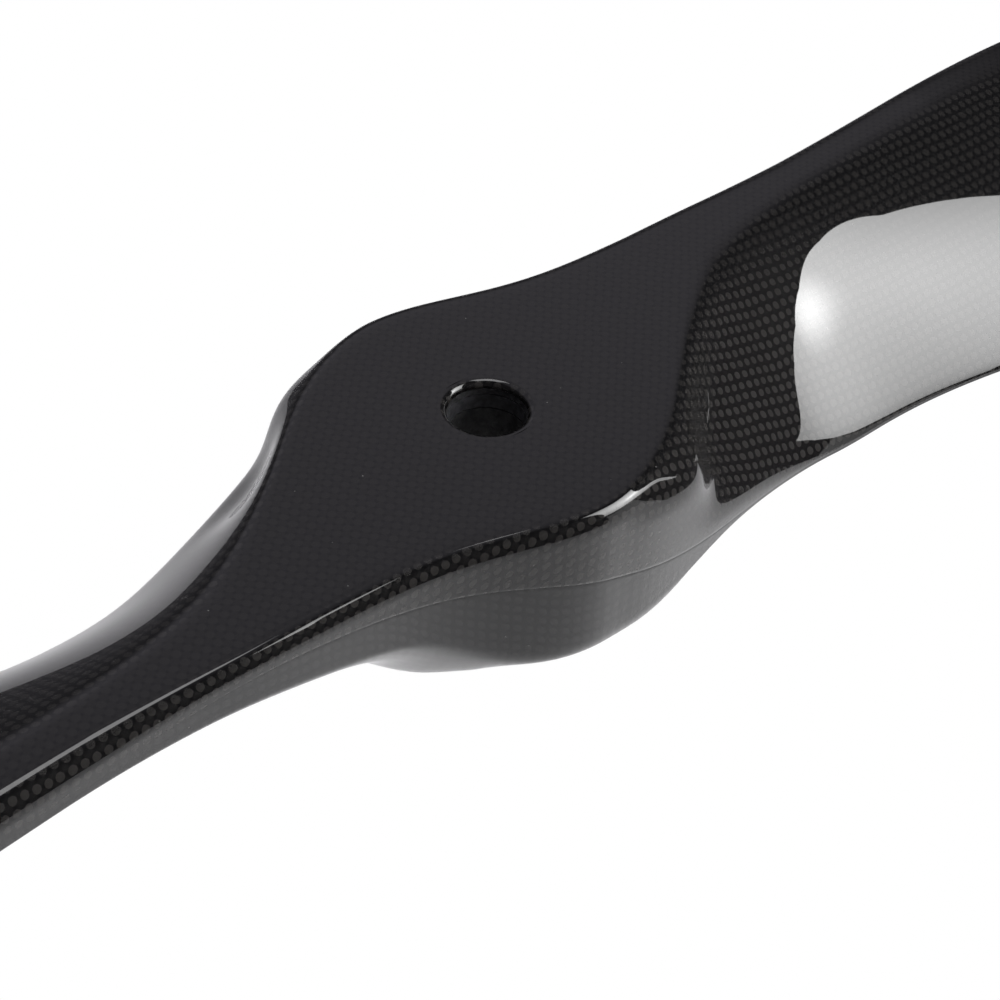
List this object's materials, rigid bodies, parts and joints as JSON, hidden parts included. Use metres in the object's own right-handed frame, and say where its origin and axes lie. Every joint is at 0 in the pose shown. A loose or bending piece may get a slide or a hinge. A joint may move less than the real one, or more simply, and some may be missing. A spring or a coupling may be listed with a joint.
{
  "type": "propeller",
  "caption": "Fixed-pitch propeller with a flat one-piece hub, central shaft bore and a pair of twisted, foam-cored blades in glossy woven carbon laminate.",
  "frame": {"origin": "on the shaft bore axis at the rear hub face", "axes": "+Z along the bore towards the front face, +X along one blade, +Y towards that blade's leading edge"},
  "size_m": [0.6096, 0.0554, 0.022],
  "materials": {
    "front_weave": "plain-weave carbon laminate under clear gloss resin, polished",
    "rear_weave": "plain-weave carbon laminate under clear gloss resin, as moulded",
    "hub_compound": "moulded short-fibre carbon compound, bored",
    "hub_plies": "woven carbon plies, matt",
    "spar_carbon": "unidirectional carbon, satin",
    "foam": "closed-cell foam, matt",
    "roving": "carbon roving soaked in resin, satin",
    "adhesive": "filled epoxy adhesive, matt",
    "tip_filler": "light epoxy filler, matt"
  },
  "bodies": {
    "root": {"front_skin": "front_weave", "rear_skin": "rear_weave", "hub_block": "hub_compound", "front_hub_plies": "hub_plies", "rear_hub_plies": "hub_plies", "front_spar_cap": "spar_carbon", "rear_spar_cap": "spar_carbon", "blade_core_right": "foam", "blade_core_left": "foam", "leading_edge_roving_right": "roving", "leading_edge_roving_left": "roving", "trailing_edge_bond_right": "adhesive", "trailing_edge_bond_left": "adhesive", "tip_block_right": "tip_filler", "tip_block_left": "tip_filler"}
  },
  "joints": []
}
